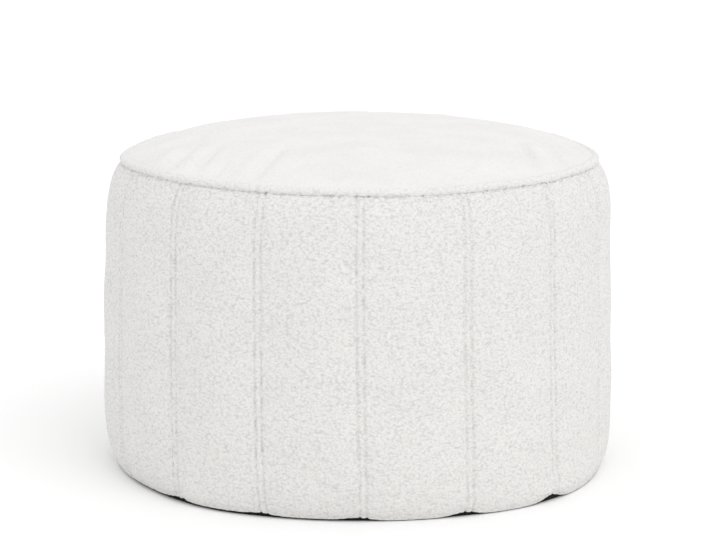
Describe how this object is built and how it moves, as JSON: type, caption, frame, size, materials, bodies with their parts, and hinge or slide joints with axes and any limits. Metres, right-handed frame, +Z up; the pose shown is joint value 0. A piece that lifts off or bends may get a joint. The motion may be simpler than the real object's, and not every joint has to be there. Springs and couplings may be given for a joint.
{
  "type": "bean bag footstool",
  "caption": "Round bean bag footstool in white curly fleece, with a crowned top, a rolled piping, twin-stitched wall panels and a dark base panel.",
  "frame": {"origin": "middle of the foot, on the surface that the footstool stands on", "axes": "+Z up through the crown; -Y is the front, where one seam faces it; +X is to the right as seen from the front"},
  "size_m": [0.4985, 0.4984, 0.327],
  "materials": {
    "curly_fleece": "white curly bouclé fleece, matt, pile about 4 mm deep",
    "rolled_fleece": "the same white fleece rolled over a cord, matt",
    "base_cloth": "plain black woven base cloth, matt"
  },
  "bodies": {
    "root": {"top_panel": "curly_fleece", "piping": "rolled_fleece", "side_panel_01": "curly_fleece", "side_panel_02": "curly_fleece", "side_panel_03": "curly_fleece", "side_panel_04": "curly_fleece", "side_panel_05": "curly_fleece", "side_panel_06": "curly_fleece", "side_panel_07": "curly_fleece", "side_panel_08": "curly_fleece", "side_panel_09": "curly_fleece", "side_panel_10": "curly_fleece", "side_panel_11": "curly_fleece", "side_panel_12": "curly_fleece", "side_panel_13": "curly_fleece", "side_panel_14": "curly_fleece", "side_panel_15": "curly_fleece", "side_panel_16": "curly_fleece", "base_panel": "base_cloth"}
  },
  "joints": []
}
